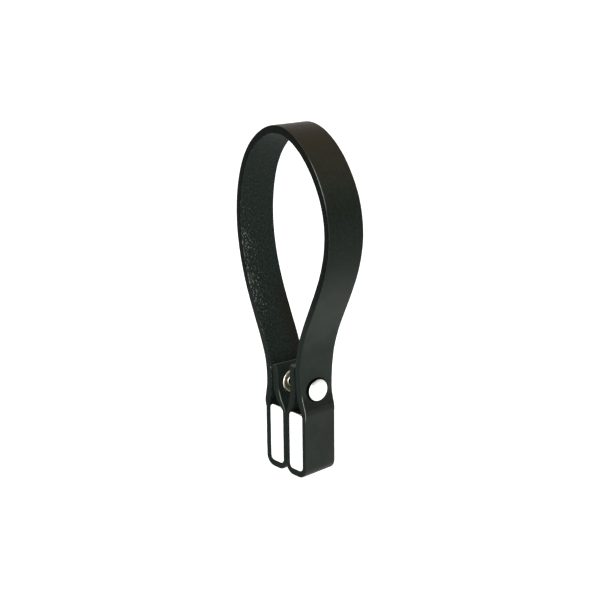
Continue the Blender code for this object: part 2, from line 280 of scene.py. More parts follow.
def cubic_bends(slope, h, start, end):
    """Second derivatives at the stations of a cubic spline. An end with no direction is unbent."""
    count = len(h) + 1
    system, right = np.eye(count), np.zeros((count, 2))
    if start is not None:
        system[0, :2] = 2 * h[0], h[0]
        right[0] = 6 * (slope[0] - start)
    if end is not None:
        system[-1, -2:] = h[-1], 2 * h[-1]
        right[-1] = 6 * (end - slope[-1])
    for i in range(1, count - 1):
        system[i, i - 1 : i + 2] = h[i - 1], 2 * (h[i - 1] + h[i]), h[i]
        right[i] = 6 * (slope[i] - slope[i - 1])
    return np.linalg.solve(system, right)


def smooth_curve(stations, start, end):
    """Closely spaced points along the cubic spline through the stations."""
    p = np.array(stations)
    h = np.linalg.norm(np.diff(p, axis=0), axis=1)
    slope = np.diff(p, axis=0) / h[:, None]
    bend = cubic_bends(slope, h, start, end)
    points = []
    for i, length in enumerate(h):
        steps = math.ceil(length / CURVE_STEP)
        t = (np.arange(steps) * length / steps)[:, None]
        rest = length - t
        cubic = (bend[i] * rest**3 + bend[i + 1] * t**3) / (6 * length)
        near = p[i] / length - bend[i] * length / 6
        far = p[i + 1] / length - bend[i + 1] * length / 6
        points.append(cubic + near * rest + far * t)
    return np.vstack(points + [p[-1:]])


def wall_places(sign):
    """X of the flesh face of the pocket's inner wall and of its outer wall."""
    inner = PAIR_X + sign * (POCKET_GAP / 2 + FOLD_THICK)
    return inner, inner + sign * (BAR_SIZE[0] + 2 * BAR_GAP)


def straight(a, b):
    """Points from a towards b, without b."""
    a, b = np.array(a), np.array(b)
    steps = math.ceil(np.linalg.norm(b - a) / CURVE_STEP)
    return a + (b - a) * (np.arange(steps) / steps)[:, None]


def pocket_turn(sign):
    """Flesh face and thickness, down the inner wall, round the bottom and up the outer wall."""
    inner, outer = wall_places(sign)
    radius = BAR_CORNER + BAR_GAP
    height = BOTTOM_THICK + radius
    steps = math.ceil(radius * math.pi / 2 / CURVE_STEP)
    share = np.arange(steps) / steps
    angle = share * math.pi / 2
    sine, cosine = radius * np.sin(angle), radius * np.cos(angle)
    first = np.stack([inner + sign * (radius - cosine), height - sine], 1)
    last = np.stack([outer - sign * (radius - sine), height - cosine], 1)
    floor_ends = [(x, BOTTOM_THICK) for x in (inner + sign * radius, outer - sign * radius)]
    parts = [
        (straight((inner, WALL_TOP), (inner, height)), FOLD_THICK, FOLD_THICK),
        (first, FOLD_THICK, BOTTOM_THICK),
        (straight(*floor_ends), BOTTOM_THICK, BOTTOM_THICK),
        (last, BOTTOM_THICK, WALL_THICK),
        (straight((outer, height), (outer, WALL_TOP)), WALL_THICK, WALL_THICK),
    ]
    thick = [a + (b - a) * np.arange(len(points)) / len(points) for points, a, b in parts]
    return np.vstack([points for points, _, _ in parts]), np.concatenate(thick)


def pared_thickness(points, thin, full):
    share = np.clip((points[:, 1] - PARED_TO_Z) / (TONGUE_ROOT_Z - PARED_TO_Z), 0, 1)
    return thin + (full - thin) * share


class StrapCurve:
    """The flesh face's line from the left tongue's tip to the right one's.

    Lengths along it are measured from the crown's top.
    """

    def __init__(self):
        up, down = np.array([0.0, 1.0]), np.array([0.0, -1.0])
        tongues, turns, tops = {}, {}, {}
        for side, sign in SIDES:
            inner, outer = wall_places(sign)
            tongues[side] = smooth_curve([*TONGUE_FACE[side], (inner, WALL_TOP)], None, down)[:-1]
            turns[side] = pocket_turn(sign)
            tops[side] = (outer, WALL_TOP)
        loop = smooth_curve([tops["left"], *LOOP_FACE, tops["right"]], up, down)
        (left_turn, left_thick), (right_turn, right_thick) = turns["left"], turns["right"]
        self.line = np.vstack(
            [tongues["left"], left_turn, loop, right_turn[::-1], tongues["right"][::-1]]
        )
        thick = np.concatenate([
            pared_thickness(tongues["left"], FOLD_THICK, TONGUE_THICK),
            left_thick,
            pared_thickness(loop, WALL_THICK, STRAP_THICK),
            right_thick[::-1],
            pared_thickness(tongues["right"][::-1], FOLD_THICK, TONGUE_THICK),
        ])
        reach = np.concatenate([[0], np.cumsum(np.linalg.norm(np.diff(self.line, axis=0), axis=1))])
        self.along = reach - reach[np.argmax(self.line[:, 1])]
        heading = np.gradient(self.line, self.along, axis=0)
        heading /= np.linalg.norm(heading, axis=1)[:, None]
        smooth = np.ones(THICKNESS_SMOOTHING) / THICKNESS_SMOOTHING
        padded = np.pad(thick, THICKNESS_SMOOTHING // 2, mode="edge")
        self.thick = np.convolve(padded, smooth, mode="valid")
        self.outward = np.stack([-heading[:, 1], heading[:, 0]], axis=1)

    def at(self, values, along):
        if values.ndim == 1:
            return np.interp(along, self.along, values)
        return np.stack([np.interp(along, self.along, column) for column in values.T], axis=1)

    def crossing(self, height, which):
        """Length along the strap where the flesh face meets a height.

        which is 0 for the first crossing and -1 for the last.
        """
        z = self.line[:, 1] - height
        i = np.nonzero((z[:-1] < 0) != (z[1:] < 0))[0][which]
        share = z[i] / (z[i] - z[i + 1])
        return self.along[i] + share * (self.along[i + 1] - self.along[i])


CURVE = StrapCurve()
ROOT_ALONG = (CURVE.crossing(ROOT_Z, -1) - CURVE.crossing(ROOT_Z, 0)) / 2
FOLD_ALONG = (CURVE.crossing(FOLD_Z, -2) - CURVE.crossing(FOLD_Z, 1)) / 2
FINE_REGION = (CURVE.crossing(FINE_Z[1], -2), CURVE.crossing(FINE_Z[0], -2))


def twist_angle(z):
    share = np.clip((TWIST_END_Z - z) / (TWIST_END_Z - TWIST_FULL_Z), 0, 1)
    return math.radians(TWIST_DEG) * share**2 * (3 - 2 * share)


def twist(points):
    """Turns points about the pair's upright line, by their height."""
    angle = twist_angle(points[..., 2])
    x, y = points[..., 0] - PAIR_X, points[..., 1]
    turned = points.copy()
    turned[..., 0] = PAIR_X + np.cos(angle) * x - np.sin(angle) * y
    turned[..., 1] = np.sin(angle) * x + np.cos(angle) * y
    return turned


def twist_matrix(z):
    middle = Matrix.Translation((PAIR_X * MM, 0.0, 0.0))
    return middle @ Matrix.Rotation(float(twist_angle(z)), 4, "Z") @ middle.inverted()


# ---------------------------------------------------------------- leather

def outline():
    """The strap's rounded section, from the near edge along the flesh face and back over the grain.

    Each row has the place across, the share of the way to the grain, the corner's push in depth,
    and the two parts of the way out.
    """
    half = STRAP_WIDTH / 2
    face = np.linspace(-1, 1, FACE_COLUMNS) * (half - EDGE_RADIUS)
    turn = np.radians(np.linspace(0, 90, CORNER_STEPS + 1)[1:])
    edge = np.linspace(0, 1, EDGE_COLUMNS + 2)[1:-1]

    def corner(side, share, up, angles):
        for a in angles:
            across = side * (half - EDGE_RADIUS * (1 - math.sin(a)))
            push = -up * EDGE_RADIUS * (1 - math.cos(a))
            rows.append((across, share, push, side * math.sin(a), up * math.cos(a)))

    def cut_edge(side, shares):
        for share in shares:
            rows.append((side * half, share, EDGE_RADIUS * (1 - 2 * share), side, 0.0))

    rows = [(y, 0.0, 0.0, 0.0, -1.0) for y in face]
    corner(1, 0.0, -1, turn)
    cut_edge(1, edge)
    corner(1, 1.0, 1, turn[::-1])
    rows += [(y, 1.0, 0.0, 0.0, 1.0) for y in face[::-1]]
    corner(-1, 1.0, 1, turn)
    cut_edge(-1, edge[::-1])
    corner(-1, 0.0, -1, turn[::-1])
    return np.array(rows).T


def stations(start, end):
    """Lengths from start to end, closer together beside a seam and round a press stud."""
    made = [start]
    while made[-1] < end - SEAM_STEP / 2:
        here = made[-1]
        at_seam = min(here - start, end - here) < SEAM_REACH
        at_stud = FINE_REGION[0] < abs(here) < FINE_REGION[1]
        made.append(here + (SEAM_STEP if at_seam else FINE_STEP if at_stud else STATION_STEP))
    return np.array([*made[:-1], end])


def wander(points, scale, seed):
    """Smooth repeatable noise at points given in the flat strap's own coordinates."""
    shift = Vector(seed * step for step in SEED_SHIFT)
    flat = points.reshape(-1, 3) / scale
    values = [noise.noise(Vector(p) + shift) for p in flat]
    return np.array(values).reshape(points.shape[:-1])


def smoothstep(low, high, value):
    t = np.clip((value - low) / (high - low), 0, 1)
    return t * t * (3 - 2 * t)


def dimples(flat):
    """How far the grain is pressed in round each cap, with a low lip outside."""
    pressed = np.zeros(flat.shape[:2])
    for side, which in LEG_CROSSING.items():
        along = flat[..., 0] - CURVE.crossing(STUD_Z, which)
        away = np.hypot(along, flat[..., 1] - STUD_Y[side])
        beyond = np.maximum(away - DIMPLE_RADIUS, 0)
        pressed += DIMPLE_DEPTH * np.exp(-((beyond / DIMPLE_WIDTH) ** 2))
        pressed -= LIP_HEIGHT * np.exp(-(((away - LIP_RADIUS) / LIP_WIDTH) ** 2))
    return pressed


def wrinkles(flat):
    """Fine creases across the grain where the leg turns out over the pocket."""
    reach = np.abs(flat[..., 0]) - FOLD_ALONG + WRINKLE_DRIFT * wander(flat, 4.0, 3)
    strength = 0.6 + 0.8 * wander(flat, 5.0, 4)
    lines = sum(np.exp(-(((reach - place) / WRINKLE_WIDTH) ** 2)) for place in FOLD_WRINKLES)
    return WRINKLE_DEPTH * strength * lines


def leather_rings(along, inset):
    """Points of the strap's sections, their places in the flat strap, and their surface shares.

    A flat place is the length along, the place across and the depth. The shares say how far each
    point is on the grain and how far it is round to a cut edge.
    """
    across, share, push, out_y, out_n = outline()
    flesh, thick = CURVE.at(CURVE.line, along), CURVE.at(CURVE.thick, along)
    normal = CURVE.at(CURVE.outward, along)
    normal /= np.linalg.norm(normal, axis=1)[:, None]
    depth = share[None] * thick[:, None] + push[None]
    y = np.repeat(across[None], len(along), axis=0)
    middle = thick[:, None] / 2
    depth = middle + (depth - middle) * (1 - inset / middle[:, 0])[:, None]
    y = y * (1 - inset / (STRAP_WIDTH / 2))[:, None]
    lengths = np.repeat(along[:, None], len(across), axis=1)
    flat = np.stack([lengths, y, depth / thick[:, None] * STRAP_THICK], -1)
    grain, edge = smoothstep(-0.2, 0.6, out_n), np.abs(out_y)
    slow, quick = wander(flat, SLOW_WANDER_SCALE, 1), wander(flat, QUICK_WANDER_SCALE, 2)
    amount = (
        GRAIN_WANDER * grain * slow
        + FLESH_WANDER * (1 - grain) * (1 - edge) * (0.5 * slow + quick)
        + EDGE_WANDER * edge * quick
    )
    amount -= grain * (1 - edge) * (dimples(flat) + wrinkles(flat))
    depth = depth + amount * out_n
    y = y + amount * out_y
    points = np.stack(
        [flesh[:, :1] + normal[:, :1] * depth, y, flesh[:, 1:] + normal[:, 1:] * depth], axis=-1
    )
    grain, edge = (np.repeat(share[None], len(along), axis=0) for share in (grain, edge))
    return twist(points), flat, grain, edge


def leather_piece(name, start, end, tip=None):
    """One closed stretch of strap.

    tip is "start" or "end" where the stretch has the tongue's rounded cut end.
    """
    along = stations(start, end)
    inset = np.zeros(len(along))
    if tip:
        turn = np.radians(np.linspace(90, 0, TIP_STEPS + 1))
        back = EDGE_RADIUS * (1 - np.sin(turn[::-1]))
        push = EDGE_RADIUS * (1 - np.cos(turn[::-1]))
        if tip == "start":
            keep = along > start + EDGE_RADIUS + TIP_CLEARANCE
            along = np.concatenate([start + back[::-1], along[keep]])
            inset = np.concatenate([push[::-1], np.zeros(keep.sum())])
        else:
            keep = along < end - EDGE_RADIUS - TIP_CLEARANCE
            along = np.concatenate([along[keep], end - back])
            inset = np.concatenate([np.zeros(keep.sum()), push])
    points, flat, grain, edge = leather_rings(along, inset)
    edge = np.where(inset[:, None] > 0, 1 + inset[:, None] / EDGE_RADIUS, edge)
    rings, count = points.shape[:2]
    bm = bmesh.new()
    verts = [bm.verts.new(p) for p in points.reshape(-1, 3) * MM]
    for i in range(rings - 1):
        for j in range(count):
            k = (j + 1) % count
            here, after = i * count, (i + 1) * count
            corners = (here + j, after + j, after + k, here + k)
            bm.faces.new([verts[c] for c in corners])
    ends = [bm.faces.new(verts[:count]), bm.faces.new(verts[-count:][::-1])]
    for face in bm.faces:
        face.smooth = True
    for face in ends:
        for side_edge in face.edges:
            side_edge.smooth = False
    bmesh.ops.recalc_face_normals(bm, faces=bm.faces)
    mesh = bpy.data.meshes.new(name)
    bm.to_mesh(mesh)
    bm.free()
    vector = mesh.attributes.new("flat_place", "FLOAT_VECTOR", "POINT")
    vector.data.foreach_set("vector", flat.reshape(-1).astype(np.float32))
    share = mesh.attributes.new("edge_share", "FLOAT", "POINT")
    share.data.foreach_set("value", edge.reshape(-1).astype(np.float32))
    faces = np.where(grain > 0.5, GRAIN_FACES, FLESH_FACES)
    sides = np.where(edge > EDGE_SHARE, EDGE_FACES, faces).reshape(-1)
    corners = np.zeros(len(mesh.loops), np.int32)
    mesh.loops.foreach_get("vertex_index", corners)
    for face in mesh.polygons:
        kinds = sides[corners[face.loop_start : face.loop_start + 4]]
        face.material_index = int(np.bincount(kinds).argmax())
    obj = bpy.data.objects.new(name, mesh)
    bpy.context.scene.collection.objects.link(obj)
    return obj


def punch(obj, profile, matrix):
    """Cuts the press stud's holes, and leaves the result in the mesh."""
    cutter = turned(f"{obj.name}_cutter", profile, matrix)
    for face in cutter.data.polygons:
        face.material_index = EDGE_FACES
    modifier = obj.modifiers.new("holes", "BOOLEAN")
    modifier.operation = "DIFFERENCE"
    modifier.solver = "EXACT"
    modifier.object = cutter
    graph = bpy.context.evaluated_depsgraph_get()
    mesh = bpy.data.meshes.new_from_object(obj.evaluated_get(graph))
    obj.modifiers.clear()
    obj.data = mesh
    bpy.data.objects.remove(cutter)


# ---------------------------------------------------------------- metal

def rounded(profile, radius, closed):
    """The profile with each corner rounded a little."""
    points = [Vector(p) for p in profile]
    made = []
    for i, corner in enumerate(points):
        if not closed and i in (0, len(points) - 1):
            made.append(corner)
            continue
        before, after = points[i - 1] - corner, points[(i + 1) % len(points)] - corner
        a = corner + before.normalized() * min(radius, 0.45 * before.length)
        b = corner + after.normalized() * min(radius, 0.45 * after.length)
        for t in CORNER_SHARES:
            made.append(a * (1 - t) ** 2 + corner * 2 * t * (1 - t) + b * t**2)
    return made


def turned(name, profile, matrix, radius=0.0):
    """A profile turned about its own Z. Each point keeps its radius and height as turned_place."""
    closed = profile[0][0] > 0
    line = rounded(profile, radius, closed) if radius else [Vector(p) for p in profile]
    bm = bmesh.new()
    rings = []
    angles = np.arange(TURN_STEPS) * 2 * math.pi / TURN_STEPS
    for r, z in line:
        if r < 1e-6:
            rings.append([bm.verts.new((0, 0, z * MM))] * TURN_STEPS)
            continue
        round_it = [(r * math.cos(a) * MM, r * math.sin(a) * MM, z * MM) for a in angles]
        rings.append([bm.verts.new(place) for place in round_it])
    pairs = zip(rings, rings[1:] + rings[:1]) if closed else zip(rings, rings[1:])
    for ring, following in pairs:
        for j in range(TURN_STEPS):
            k = (j + 1) % TURN_STEPS
            corners = list(dict.fromkeys((ring[j], following[j], following[k], ring[k])))
            face = bm.faces.new(corners)
            face.smooth = True
    bmesh.ops.recalc_face_normals(bm, faces=bm.faces)
    places = [(math.hypot(v.co.x, v.co.y) / MM, v.co.z / MM, 0.0) for v in bm.verts]
    obj = finished(name, bm, matrix)
    attribute = obj.data.attributes.new("turned_place", "FLOAT_VECTOR", "POINT")
    attribute.data.foreach_set("vector", np.array(places, np.float32).ravel())
    return obj


def finished(name, bm, matrix):
    bm.transform(matrix)
    mesh = bpy.data.meshes.new(name)
    bm.to_mesh(mesh)
    bm.free()
    obj = bpy.data.objects.new(name, mesh)
    bpy.context.scene.collection.objects.link(obj)
    return obj


def facing(side, sign, x):
    """Places a turned piece on the stud's axis at x, its own Z pointing out of the loop."""
    place = Matrix.Translation(Vector((x, STUD_Y[side], STUD_Z)) * MM)
    return twist_matrix(STUD_Z) @ place @ Matrix.Rotation(math.radians(sign * 90), 4, "Y")


def bevel(bm, edges, width, segments):
    bmesh.ops.bevel(
        bm, geom=edges, offset=width * MM, offset_type="OFFSET", segments=segments, profile=0.5,
        affect="EDGES",
    )


def bar(name, sign):
    """A flat block with rounded long edges, upright in its pocket."""
    inner, outer = wall_places(sign)
    bm = bmesh.new()
    bmesh.ops.create_cube(bm, size=1.0)
    bm.transform(Matrix.Diagonal((*(Vector(BAR_SIZE) * MM), 1.0)))
    depth = BAR_SIZE[1] * MM
    long_edges = [e for e in bm.edges if abs(e.verts[0].co.y - e.verts[1].co.y) > depth / 2]
    bevel(bm, long_edges, BAR_CORNER, BAR_CORNER_STEPS)
    rims = [e for e in bm.edges if e.calc_face_angle() > math.radians(BAR_SHARP_DEG)]
    bevel(bm, rims, BAR_EDGE, BAR_EDGE_STEPS)
    for face in bm.faces:
        face.smooth = True
    middle = Vector(((inner + outer) / 2, 0.0, BOTTOM_THICK + BAR_GAP + BAR_SIZE[2] / 2))
    return finished(name, bm, twist_matrix(middle.z) @ Matrix.Translation(middle * MM))


def ring_spring(name, matrix):
    """An open wire ring."""
    bm = bmesh.new()
    angles = np.radians(np.linspace(RING_GAP_DEG / 2, 360 - RING_GAP_DEG / 2, RING_STATIONS))
    rings = []
    for a in angles:
        ring = []
        for b in np.arange(RING_AROUND) * 2 * math.pi / RING_AROUND:
            r = RING_RADIUS + RING_WIRE * math.cos(b)
            z = RING_HEIGHT + RING_WIRE * math.sin(b)
            ring.append(bm.verts.new(Vector((r * math.cos(a), r * math.sin(a), z)) * MM))
        rings.append(ring)
    for ring, following in zip(rings, rings[1:]):
        for j in range(RING_AROUND):
            k = (j + 1) % RING_AROUND
            bm.faces.new((ring[j], following[j], following[k], ring[k])).smooth = True
    bm.faces.new(rings[0])
    bm.faces.new(rings[-1][::-1])
    bmesh.ops.recalc_face_normals(bm, faces=bm.faces)
    return finished(name, bm, matrix)


# ---------------------------------------------------------------- materials

class Nodes:
    """Short calls for building one material's node tree."""

    def __init__(self, name):
        self.material = bpy.data.materials.new(name)
        self.material.use_nodes = True
        self.tree = self.material.node_tree
        self.shader = self.tree.nodes["Principled BSDF"]

    def add(self, kind, settings=None, **inputs):
        made = self.tree.nodes.new(kind)
        for key, value in (settings or {}).items():
            setattr(made, key, value)
        for key, value in inputs.items():
            self.put(made.inputs[key.replace("_", " ")], value)
        return made

    def put(self, socket, value):
        if isinstance(value, bpy.types.NodeSocket):
            self.tree.links.new(value, socket)
        else:
            socket.default_value = value

    def attribute(self, name):
        made = self.add("ShaderNodeAttribute", {"attribute_name": name})
        return made.outputs["Vector"] if name.endswith("place") else made.outputs["Fac"]

    def noise(self, vector, scale, detail, roughness):
        made = self.add(
            "ShaderNodeTexNoise", Vector=vector, Scale=scale, Detail=detail, Roughness=roughness
        )
        return made.outputs["Fac"]

    def stretched(self, vector, scale):
        made = self.add("ShaderNodeVectorMath", {"operation": "MULTIPLY"})
        self.put(made.inputs[0], vector)
        self.put(made.inputs[1], scale)
        return made.outputs[0]

    def ramp(self, value, low, high, to_low=0.0, to_high=1.0):
        """Smooth from one number at low to another at high."""
        made = self.add("ShaderNodeMapRange", {"interpolation_type": "SMOOTHSTEP"}, Value=value)
        limits = {"From Min": low, "From Max": high, "To Min": to_low, "To Max": to_high}
        for key, number in limits.items():
            self.put(made.inputs[key], number)
        return made.outputs["Result"]

    def fade(self, value, start, end, height=1.0):
        """Smooth from the height at start down to 0 at end."""
        return self.ramp(value, start, end, height, 0.0)

    def window(self, value, rise, fall, height=1.0):
        """Smooth from 0 up over rise, and back to 0 over fall."""
        return self.times(self.ramp(value, *rise), self.fade(value, *fall, height))

    def math(self, operation, a, b=0.0):
        made = self.add("ShaderNodeMath", {"operation": operation})
        self.put(made.inputs[0], a)
        self.put(made.inputs[1], b)
        return made.outputs[0]

    def chain(self, operation, values):
        result = values[0]
        for value in values[1:]:
            result = self.math(operation, result, value)
        return result

    def times(self, *values):
        return self.chain("MULTIPLY", values)

    def total(self, *values):
        return self.chain("ADD", values)

    def most(self, *values):
        return self.chain("MAXIMUM", values)

    def distance(self, value, place):
        return self.math("ABSOLUTE", self.math("SUBTRACT", value, place))

    def mix(self, share, a, b):
        made = self.add("ShaderNodeMix", {"data_type": "RGBA"})
        self.put(made.inputs[0], share)
        self.put(made.inputs[6], a)
        self.put(made.inputs[7], b)
        return made.outputs[2]

    def blend(self, share, a, b):
        made = self.add("ShaderNodeMix", {"data_type": "FLOAT"})
        for place, value in ((0, share), (2, a), (3, b)):
            self.put(made.inputs[place], value)
        return made.outputs[0]

    def relief(self, distance, *layers):
        """A bumped normal from pairs of a height and its weight."""
        height = self.total(*(self.times(layer, weight) for layer, weight in layers))
        bump = self.add("ShaderNodeBump", Height=height, Distance=distance, Strength=1.0)
        return bump.outputs["Normal"]

    def finish(self, **inputs):
        for key, value in inputs.items():
            self.put(self.shader.inputs[key.replace("_", " ")], value)
        return self.material


def leather_nodes(name):
    """A material with the flat strap's coordinates and the noises that all its surfaces share."""
    n = Nodes(name)
    n.place = n.attribute("flat_place")
    n.edge = n.attribute("edge_share")
    split = n.add("ShaderNodeSeparateXYZ", Vector=n.place)
    n.along, n.across = split.outputs["X"], split.outputs["Y"]
    n.away = n.math("ABSOLUTE", n.along)
    n.cloud = n.noise(n.place, 0.14, 3.0, 0.55)
    n.mottle = n.noise(n.place, 0.9, 4.0, 0.6)
    n.fine = n.noise(n.place, 4.2, 3.0, 0.6)
    return n


def grain_material():
    """Smooth dyed grain: pores, fine creases, a brown cast over the crown, darker at the edges,
    with painted shade on the shoulders, at the folds and round the caps, and a painted highlight
    along the edge line.
    """
    n = leather_nodes("leather_grain")
    tone = n.mix(n.ramp(n.cloud, 0.3, 0.7), GRAIN_DARK, GRAIN_LIGHT)
    # Painted shade over the crown's shoulders.
    tone = n.mix(n.window(n.away, *SHOULDER_SHADE_ZONE), tone, GRAIN_SHOULDER_SHADE)
    tone = n.mix(n.fade(n.away, 0.0, CROWN_REACH), tone, GRAIN_CROWN)
    # Painted shade in the concave bend above each pocket.
    fold_shade = n.fade(n.distance(n.away, FOLD_ALONG - FOLD_SHADE_SHIFT), *FOLD_SHADE_BAND, FOLD_SHADE_SHARE)
    tone = n.mix(fold_shade, tone, GRAIN_PAINTED_SHADE)
    # Painted shade round each cap's rim.
    tone = n.mix(cap_contact_shade(n), tone, GRAIN_PAINTED_SHADE)
    tone = n.mix(n.ramp(n.mottle, 0.35, 0.75, 0.0, 0.3), tone, GRAIN_WORN)
    tone = n.mix(n.ramp(n.edge, 0.3, 1.0, 0.0, 0.6), tone, EDGE_DARK)
    # Painted highlight along the grain's edge line.
    tone = n.mix(n.times(n.window(n.edge, *HIGHLIGHT_LINE), painted_highlight(n)), tone, GRAIN_PAINTED_HIGHLIGHT)
    creases = n.noise(n.stretched(n.place, (2.6, 0.45, 1.0)), 1.6, 4.0, 0.62)
    pores = n.add(
        "ShaderNodeTexVoronoi", {"feature": "SMOOTH_F1"}, Vector=n.place, Scale=2.6, Smoothness=0.6
    ).outputs["Distance"]
    rough = n.total(n.ramp(n.mottle, 0.3, 0.7, 0.36, 0.45), n.fade(creases, 0.35, 0.7, 0.05))
    return n.finish(
        Base_Color=tone,
        Roughness=n.blend(n.ramp(n.edge, 0.0, 0.5), rough, BURNISHED_ROUGHNESS),
        Normal=n.relief(GRAIN_RELIEF, (pores, 0.35), (n.fine, 0.4), (creases, 1.1)),
        Specular_IOR_Level=GRAIN_SPECULAR,
    )


def cap_contact_shade(n):
    """Painted shade in the ring of leather that each cap's rim presses in."""
    rings = []
    for side, which in LEG_CROSSING.items():
        x = n.math("SUBTRACT", n.along, CURVE.crossing(STUD_Z, which))
        y = n.math("SUBTRACT", n.across, STUD_Y[side])
        radius = n.math("SQRT", n.total(n.times(x, x), n.times(y, y)))
        rings.append(n.fade(radius, *CAP_SHADE_RING))
    return n.most(*rings)


def painted_highlight(n):
    """How bright the painted highlight on the edge line is: most at a pocket's two folds and beside
    the crown.
    """
    at_fold = n.fade(n.distance(n.away, FOLD_ALONG - HIGHLIGHT_FOLD_SHIFT), *HIGHLIGHT_AT_FOLD)
    at_root = n.fade(n.distance(n.away, ROOT_ALONG), *HIGHLIGHT_AT_ROOT)
    at_crown = n.window(n.away, *HIGHLIGHT_BY_CROWN, HIGHLIGHT_CROWN_SHARE)
    strongest = n.most(at_fold, at_root, at_crown, HIGHLIGHT_EVERYWHERE)
    return n.times(strongest, n.ramp(n.mottle, 0.3, 0.6, 0.55, 1.0))


def flesh_material():
    """The rough back of the leather: dark, with pale flecks in patches towards one edge, partly
    loose fibres and partly painted glints.
    """
    n = leather_nodes("leather_flesh")
    fibre = n.noise(n.stretched(n.place, (0.7, 1.4, 1.0)), 1.45, 4.0, 0.68)
    on_leg = n.ramp(n.away, *FLECKS_BEGIN, 0.25, 1.0)
    where = n.times(
        n.most(on_leg, n.fade(n.away, *FLECKED_CROWN, 0.8)),
        n.ramp(n.away, *FLECKS_THIN_OUT, 1.0, 0.25),
        n.ramp(n.across, *FLECKED_ACROSS, 1.0, 0.2),
        n.ramp(n.cloud, 0.3, 0.58, 0.75, 1.0),
    )
    limit = n.math("SUBTRACT", FLECK_LIMIT, n.times(where, FLECK_SPREAD))
    above = n.ramp(n.math("SUBTRACT", fibre, limit), 0.0, 0.12)
    fibre_glints = n.times(above, n.ramp(n.fine, 0.4, 0.62, 0.4, 1.0))
    # Pale flecks along the near corner: partly ragged fibres, partly painted glints.
    corner_fibre_glints = n.times(
        n.ramp(n.edge, 0.1, 0.35),
        n.ramp(n.mottle, 0.5, 0.68),
        n.ramp(n.cloud, 0.44, 0.62, 0.1, 0.9),
        n.window(n.away, *FLECKED_CORNER, 0.8),
    )
    cast = n.times(n.ramp(n.across, *BROWN_ACROSS), n.window(n.away, *BROWN_ZONE, 0.6))
    tone = n.mix(n.ramp(fibre, 0.4, 0.68), FLESH_DARK, FLESH_LIGHT)
    tone = n.mix(cast, tone, FLESH_BROWN)
    return n.finish(
        Base_Color=n.mix(n.most(fibre_glints, corner_fibre_glints), tone, FLESH_FIBRE_GLINT),
        Roughness=n.ramp(fibre, 0.3, 0.7, 0.5, 0.75),
        Normal=n.relief(FLESH_RELIEF, (fibre, 2.6), (n.mottle, 1.2)),
        Specular_IOR_Level=FLESH_SPECULAR,
    )


def edge_material():
    """Cut edges, dyed near black and burnished, with faint streaks along the strap, lighter down
    the legs, and a lighter tip that is raw leather and partly a painted highlight.
    """
    n = leather_nodes("leather_edge")
    streaks = n.noise(n.stretched(n.place, (0.5, 3.0, 3.0)), 1.2, 4.0, 0.62)
    tone = n.mix(n.ramp(streaks, 0.3, 0.7), EDGE_DARK, EDGE_LIGHT)
    # The cut edge is lighter down the legs, away from the crown.
    tone = n.mix(n.ramp(n.away, *EDGE_LIGHTER_BELOW, 0.0, 0.6), tone, EDGE_LOWER_TONE)
    # The tongue's tip: raw leather, and partly a painted highlight.
    raw_and_highlight = n.times(n.ramp(n.edge, *RAW_TIP_AND_HIGHLIGHT), n.ramp(n.fine, 0.35, 0.65, 0.3, 1.0))
    return n.finish(
        Base_Color=n.mix(raw_and_highlight, tone, EDGE_RAW_AND_HIGHLIGHT),
        Roughness=n.ramp(streaks, 0.3, 0.7, 0.42, 0.58),
        Normal=n.relief(EDGE_RELIEF, (streaks, 1.2), (n.fine, 0.5)),
        Specular_IOR_Level=EDGE_SPECULAR,
    )


def metal_nodes(name, colours, rough):
    """Plated metal with faint clouding and a few duller spots, as nodes, tone and roughness."""
    n = Nodes(name)
    colour, dull = colours
    n.place = n.add("ShaderNodeTexCoord").outputs["Object"]
    n.cloud = n.noise(n.place, METAL_CLOUDS, 3.0, 0.55)
    spots = n.noise(n.place, METAL_SPOTS, 3.0, 0.6)
    tone = n.mix(n.ramp(n.cloud, 0.35, 0.75), colour, dull)
    tone = n.mix(n.ramp(spots, 0.68, 0.8, 0.0, 0.6), tone, dull)
    return n, tone, n.ramp(n.cloud, 0.3, 0.7, rough, rough + 0.06)


def drawn_material(name, colours, rough):
    """Metal with fine scratches along its length."""
    n, tone, roughness = metal_nodes(name, colours, rough)
    lines = n.noise(n.stretched(n.place, (1.0, 0.12, 1.0)), METAL_SCRATCHES, 2.0, 0.5)
    return n.finish(
        Base_Color=tone,
        Roughness=n.total(roughness, n.ramp(lines, 0.45, 0.75, 0.0, 0.08)),
        Metallic=1.0,
        Normal=n.relief(METAL_RELIEF, (lines, 0.6), (n.cloud, 1.5)),
    )


def spun_material(name, colours, rough, darkening):
    """Metal with faint rings from turning, darkened as the darkening function says: painted shade,
    and on an eyelet tarnish.
    """
    n, tone, roughness = metal_nodes(name, colours, rough)
    turned_place = n.attribute("turned_place")
    rings = n.noise(n.stretched(turned_place, (1.0, 0.3, 0.0)), 7.0, 3.0, 0.6)
    split = n.add("ShaderNodeSeparateXYZ", Vector=turned_place)
    n.radius, n.height = split.outputs["X"], split.outputs["Y"]
    roughness = n.total(roughness, n.ramp(rings, 0.45, 0.7, 0.0, 0.06))
    tone, roughness = darkening(n, tone, roughness)
    return n.finish(
        Base_Color=tone,
        Roughness=roughness,
        Metallic=1.0,
        Normal=n.relief(METAL_RELIEF, (rings, 0.8), (n.cloud, 1.2)),
    )


def shaded_cap_rim(n, tone, roughness):
    """Painted shade and a painted reflection of the dark leather round a cap's rim."""
    rim = n.times(n.window(n.height, *SHADED_RIM), n.ramp(n.cloud, 0.3, 0.6, 0.8, 1.0))
    return n.mix(rim, tone, METAL_SHADE), roughness


